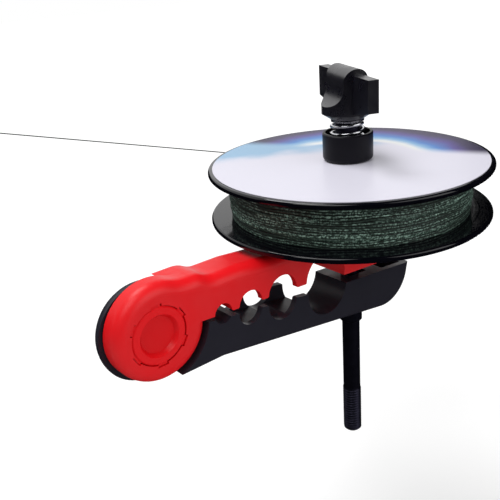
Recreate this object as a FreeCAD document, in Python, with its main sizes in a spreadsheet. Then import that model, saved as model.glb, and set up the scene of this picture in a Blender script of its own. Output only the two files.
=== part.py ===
import FreeCAD, Part
import math
import os
import re
import Sketcher
from FreeCAD import Vector

# Fishing line winder: two jaws hinged like a clothes peg grip the rod blank in one of four
# notches, and a stud through both jaws carries the spool, a brake spring and a wing knob.
# X runs along the jaws from the rod to the spool, Y along the rod, Z up the stud.
# The origin is the rod's axis in the smallest notch, halfway across the jaws.

doc = FreeCAD.newDocument("LineWinder")
sheet = doc.addObject("Spreadsheet::Sheet", "Sizes")

SIZES = (
    # jaws and hinge, mm and degrees
    ("arm_width", 17.2), ("plate", 2.4), ("cheek_gap", 0.7),
    ("pivot_x", -25.95), ("pivot_z", 1.68), ("jaw_angle", 3.7), ("lower_angle", 7.6),
    ("swing_close", 1.8), ("swing_open", 4.5),
    ("rod_r", 3.75), ("notch_two_r", 5.2), ("notch_three_r", 6.9), ("notch_four_r", 10.3),
    ("notch_one", 26.0), ("tooth_two", 3.25), ("tooth_three", 3.2), ("tooth_four", 5.1),
    ("lower_tooth_four", 6.3), ("tooth_round", 0.7), ("jaw_start", 12.0), ("past", 1.0),
    # upper arm
    ("top_z", 13.0), ("web_z", 8.9), ("tip_x", 98.6), ("tip_r", 14.0), ("stop_drop", 1.75),
    ("head_r", 17.6), ("head_shift", 1.5), ("blend_r", 20.0),
    ("hood_end", -20.0), ("hood_x", -9.8), ("hood_z", 16.8), ("hood_foot", -0.6),
    ("slope_x", 10.0), ("slope_z", 14.3), ("flat_x", 25.0),
    ("near_round", 4.4), ("top_round", 3.5), ("other_head_room", 0.5), ("hollow_start", 6.6),
    ("tip_hollow_start", 78.8), ("tip_wall", 3.0), ("rib_x", 27.5), ("rib_t", 2.2), ("rib_z", 5.0),
    ("rib_bury", 0.2),
    # lower arm, measured from the hinge along and across its own jaw line
    ("low_head_r", 17.6), ("low_head_u", 0.16), ("low_head_v", -1.19), ("low_head_side", 0.5),
    ("low_head_crown", 12.0), ("low_crown_r", 20.0),
    ("heel_u", 2.0), ("heel_v", -17.5), ("bend_u", 21.7), ("bend_v", -14.7),
    ("belly_u", 111.4), ("belly_v", -15.25), ("low_tip_u", 126.2), ("low_tip_v", -0.6),
    ("low_top_u", 126.5), ("low_top_v", 2.35), ("low_tip_r", 14.8), ("low_round", 1.6),
    ("red_head_room", 0.7), ("floor_v", -6.0), ("low_hollow_start", 32.2),
    ("core_v", -8.8), ("core_u", 24.4), ("core_long", 11.6), ("core_pitch", 14.2),
    ("low_tip_hollow", 111.4), ("low_tip_floor", -11.6),
    # hinge hardware
    ("cap_r", 10.2), ("cap_lug_r", 10.9), ("cap_room", 0.25), ("cap_lug_w", 3.6),
    ("cap_back", 5.4), ("cap_edge", 0.5), ("dish_r", 7.5), ("dish_floor", 7.0), ("dish_slope", 1.1),
    ("screw_r", 2.5), ("screw_room", 0.1), ("screw_tip", 5.1), ("screw_head_r", 4.6), ("screw_head_t", 2.6),
    ("nut_flats", 8.0), ("nut_room", 0.1), ("nut_t", 2.7), ("nut_seat", 2.4),
    ("sleeve_r", 4.0), ("sleeve_sink", 0.8), ("run_gap", 0.06), ("sleeve_spare", 0.05),
    ("rear_floor", 4.3), ("rear_room_r", 7.2), ("rear_washer_r", 6.6), ("rear_washer_t", 1.0),
    ("cheek_washer_r", 12.0), ("cheek_washer_bore", 5.0),
    # stud
    ("stud_x", 72.15), ("stud_r", 3.7), ("thread_r", 4.0), ("stud_room", 0.1), ("stud_end", -88.0),
    ("low_thread_top", -66.1), ("high_thread", 50.2), ("stud_top", 60.0), ("thread_lead", 0.8),
    ("collar_r", 4.75), ("collar_top", -28.0), ("collar_foot", -32.6), ("collar_slit", 1.1),
    ("small_edge", 0.4), ("nose_edge", 0.6),
    # spool
    ("seat_r", 10.0), ("spool_z", 16.0), ("nose_gap", 0.08), ("bore_r", 6.5), ("seat_nose", 23.5),
    ("flange_r", 55.0), ("flange_t", 2.2), ("flange_round", 0.9), ("spool_top", 37.2),
    ("core_r", 24.0), ("core_wall", 2.0), ("hub_r", 9.2), ("hub_split", 26.6), ("wind_r", 47.6),
    ("wind_bulge", 0.9), ("label_r", 53.2), ("label_t", 0.2), ("label_bore", 7.6),
    # brake
    ("cup_r", 9.75), ("cup_top", 48.3), ("cup_floor", 39.9), ("cup_mouth", 8.6), ("cup_round", 1.6),
    ("cup_nose", 32.6), ("wire_r", 0.65), ("coil_r", 6.25), ("coil_pitch", 3.0),
    ("ring_t", 0.7), ("ring_r", 6.4),
    # wing knob
    ("knob_z", 53.3), ("knob_turn", -24.0), ("knob_foot_r", 6.1), ("knob_r", 9.85), ("knob_rim_z", 55.7),
    ("knob_crest", 72.9), ("dome_r", 4.9), ("scoop_r", 7.5), ("scoop_z", 65.9), ("lip_z", 58.9),
    ("wing_reach", 23.65), ("wing_t", 4.05), ("wing_top", 70.75), ("wing_rise", 2.3), ("wing_tip_z", 59.05),
    ("neck_r", 4.8), ("neck_foot", 43.6), ("insert_top", 61.5), ("hex_flats", 11.0), ("hex_rise", 1.3),
    ("hex_tall", 3.2), ("blind_top", 66.5),
    # free line
    ("lead_r", 0.22), ("lead_long", 130.0), ("lead_gap", 0.12), ("lead_z", 27.0),
    ("lead_at", 73.4), ("lead_rise", 13.9), ("knot_r", 0.9), ("knot_neck", 0.32), ("knot_flank_r", 1.17),
)
for row, (alias, number) in enumerate(SIZES, 1):
    sheet.set(f"A{row}", alias.replace("_", " "))
    sheet.set(f"B{row}", str(number))
    sheet.setAlias(f"B{row}", alias)
doc.recompute()
NAMES = re.compile(r"\b(" + "|".join(alias for alias, _ in SIZES) + r")\b")
# Notch centres along the jaw line, each past the one before it by their radii and the tooth between.
PLACES = {
    "notch_two": "(notch_one + rod_r + tooth_two + notch_two_r)",
    "notch_three": "(notch_two + notch_two_r + tooth_three + notch_three_r)",
    "notch_four": "(notch_three + notch_three_r + tooth_four + notch_four_r)",
    "lower_notch_four": "(notch_three + notch_three_r + lower_tooth_four + notch_four_r)",
}
CAP_LUGS = 6
NEAR = 0.01  # mm within which two spots count as one


def bound(text):
    for place, sum_of_sizes in reversed(PLACES.items()):
        text = re.sub(rf"\b{place}\b", sum_of_sizes, text)
    return NAMES.sub(r"Sizes.\1", text)


def value(text):
    found = sheet.evalExpression(bound(text))
    return float(getattr(found, "Value", found))


def body(label):
    made = doc.addObject("PartDesign::Body", label)
    made.Label = label
    return made


def sketch(owner, name, role, lift=None, shift=None):
    made = owner.newObject("Sketcher::SketchObject", name)
    plane = [feature for feature in owner.Origin.OriginFeatures if feature.Role == role][0]
    made.AttachmentSupport = (plane, [""])
    made.MapMode = "FlatFace"
    if lift:
        made.setExpression("AttachmentOffset.Base.z", bound(lift))
    if shift:
        made.setExpression("AttachmentOffset.Base.x", bound(shift[0]))
        made.setExpression("AttachmentOffset.Base.y", bound(shift[1]))
    return made


def hold(drawing, kind, *place, text):
    number = drawing.addConstraint(Sketcher.Constraint(kind, *place, value(text)))
    drawing.setExpression(f"Constraints[{number}]", bound(text))


def circle(drawing, x, y, radius):
    ring = Part.Circle(Vector(value(x), value(y), 0), Vector(0, 0, 1), value(radius))
    geo = drawing.addGeometry(ring, False)
    hold(drawing, "DistanceX", -1, 1, geo, 3, text=x)
    hold(drawing, "DistanceY", -1, 1, geo, 3, text=y)
    hold(drawing, "Radius", geo, text=radius)


def outline(drawing, corners):
    """Closed outline. A third entry is the radius of the arc that arrives at the corner,
    below zero where the arc turns clockwise."""
    spots = [Vector(value(corner[0]), value(corner[1]), 0) for corner in corners]
    joins = []
    for number, corner in enumerate(corners):
        start, finish = spots[number - 1], spots[number]
        if len(corner) == 2:
            geo = drawing.addGeometry(Part.LineSegment(start, finish), False)
            joins.append((geo, 1, 2))
            continue
        radius = value(corner[2])
        half = (finish - start) / 2
        away = math.copysign(math.sqrt(radius ** 2 - half.Length ** 2), radius)
        centre = start + half + Vector(-half.y, half.x, 0).normalize() * away
        turn = [math.atan2(spot.y - centre.y, spot.x - centre.x) for spot in (start, finish)]
        if radius < 0:
            turn.reverse()
        ring = Part.Circle(centre, Vector(0, 0, 1), abs(radius))
        geo = drawing.addGeometry(Part.ArcOfCircle(ring, *turn), False)
        joins.append((geo, 1, 2) if radius > 0 else (geo, 2, 1))
        hold(drawing, "Radius", geo, text=f"abs({corner[2]})")
    for number, (geo, _, end) in enumerate(joins):
        following, begin, _ = joins[(number + 1) % len(joins)]
        drawing.addConstraint(Sketcher.Constraint("Coincident", geo, end, following, begin))
        hold(drawing, "DistanceX", -1, 1, geo, end, text=corners[number][0])
        hold(drawing, "DistanceY", -1, 1, geo, end, text=corners[number][1])


def block(left, right, low, high):
    return ((left, low), (right, low), (right, high), (left, high))


def hexagon(x, y, flats):
    reach = f"(({flats}) / sqrt(3))"
    half = f"(({flats}) / 2)"
    return tuple((f"{x} + {a} * {reach}", f"{y} + {b} * {half}")
                 for a, b in ((1, 0), (0.5, 1), (-0.5, 1), (-1, 0), (-0.5, -1), (0.5, -1)))


def solid(owner, kind, name, drawing, length, middle=False, back=False):
    made = owner.newObject(f"PartDesign::{kind}", name)
    made.Profile = drawing
    made.setExpression("Length", bound(length))
    made.Midplane = middle
    made.Reversed = back
    drawing.Visibility = False
    owner.Tip = made
    return made


def turned(owner, kind, name, drawing, axis="V_Axis"):
    made = owner.newObject(f"PartDesign::{kind}", name)
    made.Profile = drawing
    made.ReferenceAxis = (drawing, [axis])
    made.Angle = 360
    drawing.Visibility = False
    owner.Tip = made
    return made


def ringed(owner, name, feature):
    """Repeats the feature round its own sketch's centre, once for each lug of the hinge cap."""
    made = owner.newObject("PartDesign::PolarPattern", name)
    made.Originals = [feature]
    made.Axis = (feature.Profile[0], ["N_Axis"])
    made.Angle = 360
    made.Occurrences = CAP_LUGS
    owner.Tip = made
    return made


def rounded(owner, name, radius, wanted):
    doc.recompute()
    before = owner.Tip
    made = owner.newObject("PartDesign::Fillet", name)
    made.Base = (before, [f"Edge{number}" for number, edge in enumerate(before.Shape.Edges, 1) if wanted(edge)])
    made.setExpression("Radius", bound(radius))
    owner.Tip = made
    doc.recompute()
    return made


def across(edge):
    ends = [vertex.Point for vertex in edge.Vertexes]
    return len(ends) == 2 and (ends[0] - ends[1]).cross(Vector(0, 1, 0)).Length < NEAR


def near_spot(edge, x, z):
    middle = edge.CenterOfMass
    return math.hypot(middle.x - x, middle.z - z) < value("tooth_round")


def on_side(edge, distance):
    return all(abs(abs(vertex.Y) - distance) < NEAR for vertex in edge.Vertexes)


def pillow(owner, name, radius, crown, crown_r, side, sign):
    """Round hinge cheek: flat inside face, straight skirt, then a soft crown in two tangent arcs."""
    fat = f"(arm_width / 2 - {side})"
    flank = f"(({crown} ^ 2 + ({fat} - {crown_r}) ^ 2 - {crown_r} ^ 2) / (2 * ({crown} - {crown_r})))"
    steep = f"(({fat} - {crown_r}) / ({flank} - {crown_r}))"
    flat = f"(({flank} - {crown}) / ({flank} - {crown_r}))"
    join = (f"{radius} - {flank} + {flank} * {flat}", f"{sign} * ({side} + {flank} * {steep})")
    drawing = sketch(owner, name + "Profile", "XY_Plane")
    outline(drawing, (
        ("0", f"{sign} * cheek_gap / 2"),
        (radius, f"{sign} * cheek_gap / 2"),
        (radius, f"{sign} * {side}"),
        (*join, f"{sign} * {flank}"),
        (f"{radius} - {crown}", f"{sign} * arm_width / 2", f"{sign} * {crown_r}"),
        ("0", f"{sign} * arm_width / 2"),
    ))
    return drawing


# Upper arm: moulded channel with the round hinge cheek on the near side.
upper = body("upper_arm")
jaw_line = "(pivot_z - tan(jaw_angle) * ({} - pivot_x))"
step_r = "(((hood_foot - hood_x) ^ 2 + (hood_z - slope_z) ^ 2) / (4 * (hood_z - slope_z)))"
notch_x = "(pivot_x + {} * cos(jaw_angle))"
notch_z = "(pivot_z - {} * sin(jaw_angle))"
block_x = notch_x.format("notch_four")
drawing = sketch(upper, "ArmOutline", "XZ_Plane")
outline(drawing, (
    ("pivot_x + jaw_start", jaw_line.format("(pivot_x + jaw_start)")),
    (block_x, jaw_line.format(block_x)),
    (block_x, jaw_line.format(block_x) + " - stop_drop"),
    ("tip_x", jaw_line.format("tip_x") + " - stop_drop"),
    ("tip_x", "top_z - tip_r"),
    ("tip_x - tip_r", "top_z", "tip_r"),
    ("flat_x", "top_z"),
    ("slope_x", "slope_z"),
    ("hood_foot", "slope_z"),
    ("(hood_foot + hood_x) / 2", "(slope_z + hood_z) / 2", f"-{step_r}"),
    ("hood_x", "hood_z", step_r),
    ("hood_end", "hood_z"),
))
solid(upper, "Pad", "ArmBlock", drawing, "arm_width", middle=True)
head_x = "(pivot_x + head_shift)"
rise = "(hood_z - pivot_z)"
blend_run = f"sqrt((head_r + blend_r) ^ 2 - ({rise} + blend_r) ^ 2)"
share = "head_r / (head_r + blend_r)"
meet = "(head_shift * cos(jaw_angle) + sqrt(head_r ^ 2 - (head_shift * sin(jaw_angle)) ^ 2))"
drawing = sketch(upper, "HeadOutline", "XZ_Plane", lift="cheek_gap / 2")
outline(drawing, (
    ("hood_x", jaw_line.format("hood_x")),
    ("hood_x", "hood_z"),
    (f"{head_x} + {blend_run}", "hood_z"),
    (f"{head_x} + {share} * {blend_run}", f"pivot_z + {share} * ({rise} + blend_r)", "-blend_r"),
    (f"{head_x} - head_r", "pivot_z", "head_r"),
    (head_x, "pivot_z - head_r", "head_r"),
    (f"pivot_x + {meet} * cos(jaw_angle)", f"pivot_z - {meet} * sin(jaw_angle)", "head_r"),
))
solid(upper, "Pad", "Head", drawing, "(arm_width - cheek_gap) / 2")


def outer(edge, side):
    """Long outside edge of the upper arm, but not along its jaw line."""
    middle = edge.CenterOfMass
    jaw = value(jaw_line.format(str(round(middle.x, 6))))
    head = middle.x < value("pivot_x + jaw_start")
    return (edge.BoundBox.YLength < NEAR and abs(middle.y - side * value("arm_width / 2")) < NEAR
            and not across(edge) and (head or middle.z > jaw + value("past")))


rounded(upper, "NearRound", "near_round", lambda edge: outer(edge, -1))
rounded(upper, "TopRound", "top_round",
        lambda edge: outer(edge, 1) and edge.CenterOfMass.z > value("top_z - tip_r"))
drawing = sketch(upper, "OtherHeadRoom", "XZ_Plane", lift="cheek_gap / 2")
circle(drawing, "pivot_x + low_head_u * cos(lower_angle) + low_head_v * sin(lower_angle)",
       "pivot_z - low_head_u * sin(lower_angle) + low_head_v * cos(lower_angle)",
       "low_head_r + other_head_room")
solid(upper, "Pocket", "LowerHeadRecess", drawing, "arm_width")
drawing = sketch(upper, "Notches", "XZ_Plane")
for reach, radius in (("notch_one", "rod_r"), ("notch_two", "notch_two_r"),
                      ("notch_three", "notch_three_r"), ("notch_four", "notch_four_r")):
    circle(drawing, notch_x.format(reach), notch_z.format(reach), radius)
solid(upper, "Pocket", "RodNotches", drawing, "2 * arm_width", middle=True)
teeth = [(value(notch_x.format(reach)), value(notch_z.format(reach)))
         for reach in ("(notch_one + rod_r)", "(notch_two - notch_two_r)", "(notch_two + notch_two_r)",
                       "(notch_three - notch_three_r)", "(notch_three + notch_three_r)",
                       "(notch_four - notch_four_r)")]
rounded(upper, "ToothRound", "tooth_round",
        lambda edge: across(edge) and any(near_spot(edge, *spot) for spot in teeth))
drawing = sketch(upper, "Hollow", "XZ_Plane")
outline(drawing, block("hollow_start", block_x, jaw_line.format("tip_x") + " - 2 * stop_drop", "web_z"))
solid(upper, "Pocket", "ArmHollow", drawing, "arm_width - 2 * plate", middle=True)
drawing = sketch(upper, "TipHollow", "XZ_Plane")
outline(drawing, block("tip_hollow_start", "tip_x - tip_wall",
                       jaw_line.format("tip_x") + " - 2 * stop_drop", "web_z - tip_wall"))
solid(upper, "Pocket", "TipPocket", drawing, "arm_width - 2 * plate", middle=True)
drawing = sketch(upper, "Rib", "XZ_Plane")
outline(drawing, block("rib_x", "rib_x + rib_t", "rib_z", "web_z + past"))
solid(upper, "Pad", "CrossRib", drawing, "arm_width - 2 * plate + 2 * rib_bury", middle=True)
drawing = sketch(upper, "StudHole", "XY_Plane", lift="top_z + past")
circle(drawing, "stud_x", "0", "thread_r + stud_room")
solid(upper, "Pocket", "StudBore", drawing, "2 * (top_z + notch_four_r)")
drawing = sketch(upper, "CapRoom", "XZ_Plane", lift="cap_back")
circle(drawing, "pivot_x", "pivot_z", "cap_r + cap_room")
solid(upper, "Pocket", "CapRecess", drawing, "arm_width / 2", back=True)
drawing = sketch(upper, "CapLugRoom", "XZ_Plane", lift="cap_back", shift=("pivot_x", "pivot_z"))
lug = "(cap_lug_w / 2 + cap_room)"
outline(drawing, block(f"-{lug}", lug, "dish_r", "cap_lug_r + cap_room"))
ringed(upper, "CapLugSlots", solid(upper, "Pocket", "CapLugSlot", drawing, "arm_width / 2", back=True))
drawing = sketch(upper, "NutRoom", "XZ_Plane", lift="nut_seat")
outline(drawing, hexagon("pivot_x", "pivot_z", "nut_flats + 2 * nut_room"))
solid(upper, "Pocket", "NutPocket", drawing, "arm_width / 2", back=True)
drawing = sketch(upper, "SleeveRoom", "XZ_Plane", lift="cheek_gap / 2 + sleeve_sink")
circle(drawing, "pivot_x", "pivot_z", "sleeve_r")
solid(upper, "Pocket", "SleeveSocket", drawing, "sleeve_sink + cheek_gap")
drawing = sketch(upper, "ScrewRoom", "XZ_Plane", lift="nut_seat + past")
circle(drawing, "pivot_x", "pivot_z", "screw_r + screw_room")
solid(upper, "Pocket", "ScrewHole", drawing, "nut_seat + 2 * past")

# Lower arm: drawn along its own jaw line from the hinge, then tipped to where it grips the rod.
lower = body("lower_arm")
drawing = sketch(lower, "ArmOutline", "XZ_Plane")
outline(drawing, (
    ("heel_u", "heel_v"),
    ("bend_u", "bend_v"),
    ("belly_u", "belly_v"),
    ("low_tip_u", "low_tip_v", "low_tip_r"),
    ("low_top_u", "low_top_v"),
    ("lower_notch_four", "0"),
    ("heel_u", "0"),
))
solid(lower, "Pad", "ArmBlock", drawing, "arm_width", middle=True)
rounded(lower, "EdgeRound", "low_round",
        lambda edge: on_side(edge, value("arm_width / 2")) and not across(edge)
        and edge.CenterOfMass.x > value("bend_u")
        and (edge.CenterOfMass.z < value("floor_v") or edge.CenterOfMass.x > value("low_tip_u")))
drawing = sketch(lower, "OtherHeadRoom", "XZ_Plane", lift="-cheek_gap / 2")
circle(drawing, "head_shift * cos(lower_angle)", "head_shift * sin(lower_angle)", "head_r + red_head_room")
solid(lower, "Pocket", "UpperHeadRecess", drawing, "arm_width", back=True)
drawing = pillow(lower, "Head", "low_head_r", "low_head_crown", "low_crown_r", "low_head_side", "1")
drawing.setExpression("AttachmentOffset.Base.x", bound("low_head_u"))
drawing.setExpression("AttachmentOffset.Base.z", bound("low_head_v"))
turned(lower, "Revolution", "Head", drawing)
drawing = sketch(lower, "Notches", "XZ_Plane")
circle(drawing, "-pivot_x * cos(lower_angle) + pivot_z * sin(lower_angle)",
       "-pivot_x * sin(lower_angle) - pivot_z * cos(lower_angle)", "rod_r")
circle(drawing, "notch_two", "0", "notch_two_r")
circle(drawing, "notch_three", "0", "notch_three_r")
circle(drawing, "lower_notch_four", "0", "notch_four_r")
solid(lower, "Pocket", "RodNotches", drawing, "2 * arm_width", middle=True)
teeth = [(value(text), 0) for text in ("notch_two - notch_two_r", "notch_two + notch_two_r",
                                       "notch_three - notch_three_r", "notch_three + notch_three_r",
                                       "lower_notch_four - notch_four_r")]
rounded(lower, "ToothRound", "tooth_round",
        lambda edge: across(edge) and any(near_spot(edge, *spot) for spot in teeth))
drawing = sketch(lower, "Hollow", "XZ_Plane")
outline(drawing, block("low_hollow_start", "lower_notch_four", "floor_v", "low_top_v + past"))
solid(lower, "Pocket", "ArmHollow", drawing, "arm_width - 2 * plate", middle=True)
drawing = sketch(lower, "TipHollow", "XZ_Plane")
outline(drawing, block("low_tip_hollow", "low_tip_u - tip_wall", "low_tip_floor", "low_top_v + past"))
solid(lower, "Pocket", "TipPocket", drawing, "arm_width - 2 * plate", middle=True)
drawing = sketch(lower, "Coring", "XZ_Plane")
for number in range(3):
    start = f"core_u + {number} * core_pitch"
    outline(drawing, block(start, start + " + core_long", "heel_v", "core_v"))
solid(lower, "Pocket", "UndersideCoring", drawing, "arm_width - 2 * plate", middle=True)
drawing = sketch(lower, "StudSlot", "XZ_Plane")
spread = "(thread_r + 2 * stud_room)"
stud_run = "((stud_x - pivot_x) / cos({0}) - ({1}) * tan({0}))"
tight = "(lower_angle - swing_close)"
loose = "(lower_angle + swing_open)"
outline(drawing, (
    (stud_run.format(tight, "belly_v - past") + f" - {spread} / cos({tight})", "belly_v - past"),
    (stud_run.format(loose, "belly_v - past") + f" + {spread} / cos({loose})", "belly_v - past"),
    (stud_run.format(loose, "low_top_v") + f" + {spread} / cos({loose})", "low_top_v"),
    (stud_run.format(tight, "low_top_v") + f" - {spread} / cos({tight})", "low_top_v"),
))
solid(lower, "Pocket", "StudSlotCut", drawing, f"2 * {spread}", middle=True)
drawing = sketch(lower, "RearRoom", "XZ_Plane", lift="-rear_floor")
circle(drawing, "0", "0", "rear_room_r")
solid(lower, "Pocket", "RearRecess", drawing, "arm_width / 2")
drawing = sketch(lower, "SleeveRoom", "XZ_Plane")
circle(drawing, "0", "0", "sleeve_r + run_gap")
solid(lower, "Pocket", "SleeveBore", drawing, "2 * arm_width", middle=True)
lower.Placement.Rotation = FreeCAD.Rotation(Vector(0, 1, 0), 1)
lower.setExpression("Placement.Rotation.Angle", bound("lower_angle"))
lower.setExpression("Placement.Base.x", bound("pivot_x"))
lower.setExpression("Placement.Base.z", bound("pivot_z"))


def on_hinge(label, *rings):
    """Turned piece on the hinge axis from (bore, outer, near end, far end) rings, y to the far side."""
    made = body(label)
    for number, (bore, outer, near_end, far_end) in enumerate(rings):
        drawing = sketch(made, f"Ring{number}", "XZ_Plane", lift=f"-({far_end})")
        circle(drawing, "pivot_x", "pivot_z", outer)
        if bore:
            circle(drawing, "pivot_x", "pivot_z", bore)
        solid(made, "Pad", f"Length{number}", drawing, f"({far_end}) - ({near_end})")
    return made


def on_stud(label, corners):
    """Turned piece about the stud: radius and height of each corner of its half section."""
    made = body(label)
    drawing = sketch(made, "HalfSection", "XZ_Plane", shift=("stud_x", "0"))
    outline(drawing, corners)
    turned(made, "Revolution", "Turned", drawing)
    return made


# Hinge hardware: sleeve the lower arm turns on, screw and nut that clamp it, washers, cap.
on_hinge("hinge_sleeve", ("screw_r + screw_room", "sleeve_r",
                          "-(cheek_gap / 2 + sleeve_sink)", "rear_floor + sleeve_spare"))
on_hinge("cheek_washer", ("cheek_washer_bore", "cheek_washer_r", "-cheek_gap / 2", "cheek_gap / 2"))
on_hinge("rear_washer", ("screw_r + screw_room", "rear_washer_r",
                         "rear_floor + sleeve_spare", "rear_floor + sleeve_spare + rear_washer_t"))
head_seat = "rear_floor + sleeve_spare + rear_washer_t"
screw = on_hinge("hinge_screw", (None, "screw_r", "-screw_tip", head_seat),
                 (None, "screw_head_r", head_seat, f"{head_seat} + screw_head_t"))
rounded(screw, "PanEdge", "screw_head_t / 2",
        lambda edge: edge.CenterOfMass.y > value(f"{head_seat} + screw_head_t") - NEAR)
drawing = sketch(screw, "Drive", "XZ_Plane", lift=f"-({head_seat} + screw_head_t)")
outline(drawing, block("pivot_x - screw_r", "pivot_x + screw_r",
                       "pivot_z - ring_t / 2", "pivot_z + ring_t / 2"))
solid(screw, "Pocket", "DriveSlot", drawing, "screw_head_t / 2", back=True)
nut = body("hinge_nut")
drawing = sketch(nut, "Hex", "XZ_Plane", lift="nut_seat")
outline(drawing, hexagon("pivot_x", "pivot_z", "nut_flats"))
circle(drawing, "pivot_x", "pivot_z", "screw_r")
solid(nut, "Pad", "NutBlock", drawing, "nut_t")

# Hinge cap: keyed disc with a dished face that closes the near side of the hinge.
cap = body("hinge_cap")
drawing = sketch(cap, "CapSection", "XY_Plane", shift=("pivot_x", "0"), lift="pivot_z")
outline(drawing, (
    ("0", "-cap_back"),
    ("cap_r", "-cap_back"),
    ("cap_r", "-(arm_width / 2 - cap_edge)"),
    ("cap_r - cap_edge", "-arm_width / 2"),
    ("dish_r", "-arm_width / 2"),
    ("dish_r - dish_slope", "-dish_floor"),
    ("0", "-dish_floor"),
))
turned(cap, "Revolution", "Disc", drawing)
drawing = sketch(cap, "Lug", "XZ_Plane", lift="cap_back", shift=("pivot_x", "pivot_z"))
outline(drawing, block("-cap_lug_w / 2", "cap_lug_w / 2", "dish_r + cap_edge", "cap_lug_r"))
ringed(cap, "CapLugs", solid(cap, "Pad", "CapLug", drawing, "arm_width / 2 - cap_back - cap_edge"))

# Stud: plain shank with a rolled thread at both ends, and the collar that lifts the lower arm.
on_stud("stud", (
    ("0", "stud_end"),
    ("thread_r - thread_lead", "stud_end"),
    ("thread_r", "stud_end + thread_lead"),
    ("thread_r", "low_thread_top - thread_lead"),
    ("stud_r", "low_thread_top"),
    ("stud_r", "high_thread"),
    ("thread_r", "high_thread + (thread_r - stud_r)"),
    ("thread_r", "stud_top - thread_lead"),
    ("thread_r - thread_lead", "stud_top"),
    ("0", "stud_top"),
))
collar = on_stud("stud_collar", (
    ("stud_r", "collar_foot"),
    ("collar_r - small_edge", "collar_foot"),
    ("collar_r", "collar_foot + small_edge"),
    ("collar_r", "collar_top - small_edge"),
    ("collar_r - small_edge", "collar_top"),
    ("stud_r", "collar_top"),
))
drawing = sketch(collar, "Slit", "XY_Plane", lift="collar_top")
outline(drawing, block("stud_x", "stud_x + 2 * collar_r", "-collar_slit / 2", "collar_slit / 2"))
solid(collar, "Pocket", "SpringSlit", drawing, "collar_top - collar_foot")

# Spool seat: stands on the upper arm and centres the spool from below.
on_stud("spool_seat", (
    ("thread_r + stud_room", "top_z"),
    ("seat_r", "top_z"),
    ("seat_r", "spool_z"),
    ("bore_r - nose_gap", "spool_z"),
    ("bore_r - nose_gap", "seat_nose - nose_edge"),
    ("bore_r - nose_gap - nose_edge", "seat_nose"),
    ("thread_r + stud_room", "seat_nose"),
))

# Spool: lower flange with the winding core, upper flange plugged into it, label and winding.
on_stud("lower_flange", (
    ("bore_r", "spool_z"),
    ("flange_r - flange_round", "spool_z"),
    ("flange_r", "spool_z + flange_round", "flange_round"),
    ("flange_r", "spool_z + flange_t - flange_round"),
    ("flange_r - flange_round", "spool_z + flange_t", "flange_round"),
    ("core_r", "spool_z + flange_t"),
    ("core_r", "spool_top - flange_t"),
    ("core_r - core_wall", "spool_top - flange_t"),
    ("core_r - core_wall", "spool_z + flange_t"),
    ("hub_r", "spool_z + flange_t"),
    ("hub_r", "hub_split"),
    ("bore_r", "hub_split"),
))
on_stud("upper_flange", (
    ("bore_r", "hub_split"),
    ("hub_r", "hub_split"),
    ("hub_r", "spool_top - flange_t"),
    ("core_r - 2 * core_wall", "spool_top - flange_t"),
    ("core_r - 2 * core_wall", "hub_split"),
    ("core_r - core_wall", "hub_split"),
    ("core_r - core_wall", "spool_top - flange_t"),
    ("flange_r - flange_round", "spool_top - flange_t"),
    ("flange_r", "spool_top - flange_t + flange_round", "flange_round"),
    ("flange_r", "spool_top - flange_round"),
    ("flange_r - flange_round", "spool_top", "flange_round"),
    ("bore_r", "spool_top"),
))
on_stud("spool_label", (
    ("label_bore", "spool_top"),
    ("label_r", "spool_top"),
    ("label_r", "spool_top + label_t"),
    ("label_bore", "spool_top + label_t"),
))
on_stud("line_winding", (
    ("core_r", "spool_z + flange_t"),
    ("wind_r - wind_bulge", "spool_z + flange_t"),
    ("wind_r - wind_bulge", "spool_top - flange_t",
     "((spool_top - spool_z - 2 * flange_t) ^ 2 / 4 + wind_bulge ^ 2) / (2 * wind_bulge)"),
    ("core_r", "spool_top - flange_t"),
))

# Brake: cup that rides on the spool, spring in the cup, steel ring under the knob.
cup = on_stud("spring_cup", (
    ("thread_r + stud_room", "cup_nose"),
    ("bore_r - nose_gap - nose_edge", "cup_nose"),
    ("bore_r - nose_gap", "cup_nose + nose_edge"),
    ("bore_r - nose_gap", "spool_top + label_t"),
    ("cup_r - cup_round", "spool_top + label_t"),
    ("cup_r", "spool_top + label_t + cup_round", "cup_round"),
    ("cup_r", "cup_top - small_edge"),
    ("cup_r - small_edge", "cup_top"),
    ("cup_mouth", "cup_top"),
    ("cup_mouth", "cup_floor"),
    ("thread_r + stud_room", "cup_floor"),
))
spring = body("brake_spring")
drawing = sketch(spring, "Wire", "XZ_Plane", shift=("stud_x", "0"))
circle(drawing, "coil_r", "cup_floor + wire_r", "wire_r")
coil = spring.newObject("PartDesign::AdditiveHelix", "Coil")
coil.Profile = drawing
coil.ReferenceAxis = (drawing, ["V_Axis"])
coil.Mode = "pitch-height-angle"
coil.setExpression("Pitch", bound("coil_pitch"))
coil.setExpression("Height", bound("knob_z - ring_t - cup_floor - 2 * wire_r"))
coil.Angle = 0
spring.Tip = coil
on_stud("spring_ring", (
    ("neck_r + run_gap", "knob_z - ring_t"),
    ("ring_r", "knob_z - ring_t"),
    ("ring_r", "knob_z"),
    ("neck_r + run_gap", "knob_z"),
))

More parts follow.
